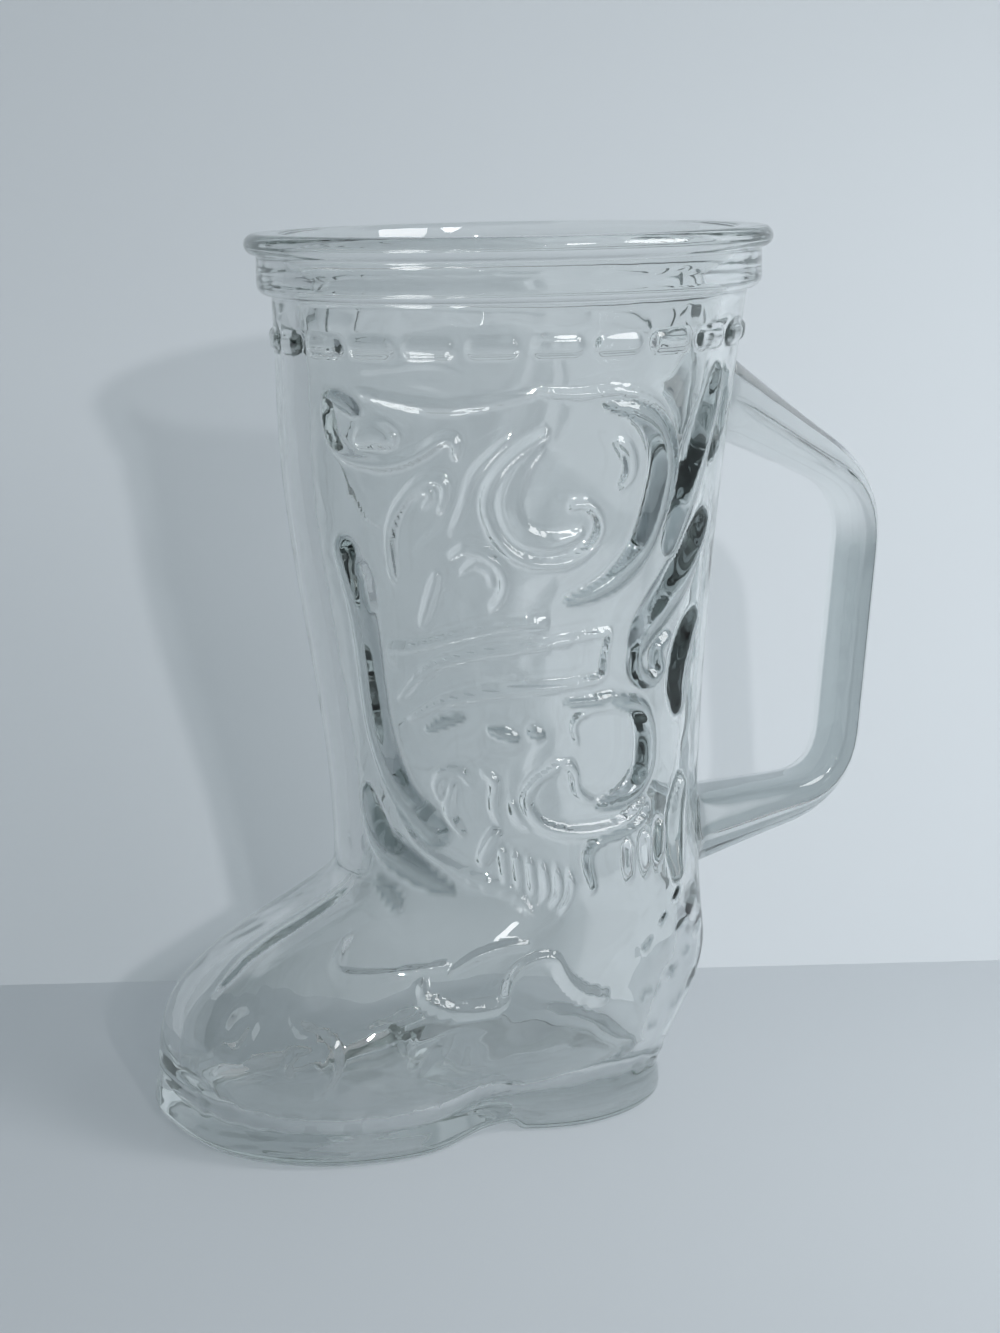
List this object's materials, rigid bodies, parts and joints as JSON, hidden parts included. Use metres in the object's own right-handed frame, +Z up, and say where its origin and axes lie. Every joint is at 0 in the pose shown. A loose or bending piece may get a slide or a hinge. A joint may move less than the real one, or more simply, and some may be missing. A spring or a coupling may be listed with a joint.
{
  "type": "beer boot glass",
  "caption": "Clear moulded-glass drinking mug shaped like a riding boot, with a rolled lip, raised stitches and scrolls, a foot with sole and heel, and a loop handle.",
  "frame": {"origin": "on the table, under the middle of the box round the whole mug", "axes": "+Z up, toe towards -X, handle towards +X, the mug mirrors itself across Y"},
  "size_m": [0.1416, 0.09, 0.15],
  "materials": {
    "clear_glass": "polished"
  },
  "bodies": {
    "root": {"rim_lip": "clear_glass", "rim_collar": "clear_glass", "shaft_wall": "clear_glass", "ankle_wall": "clear_glass", "vamp": "clear_glass", "toe_wall": "clear_glass", "heel_counter": "clear_glass", "sole_plate": "clear_glass", "outsole": "clear_glass", "heel_block": "clear_glass", "handle": "clear_glass", "stitch_band": "clear_glass", "front_seam": "clear_glass", "scrollwork": "clear_glass", "leaf_sprays": "clear_glass", "side_ribbons": "clear_glass", "vamp_scallops": "clear_glass", "toe_scrolls": "clear_glass", "counter_stitches": "clear_glass", "welt_stitches": "clear_glass"}
  },
  "joints": []
}
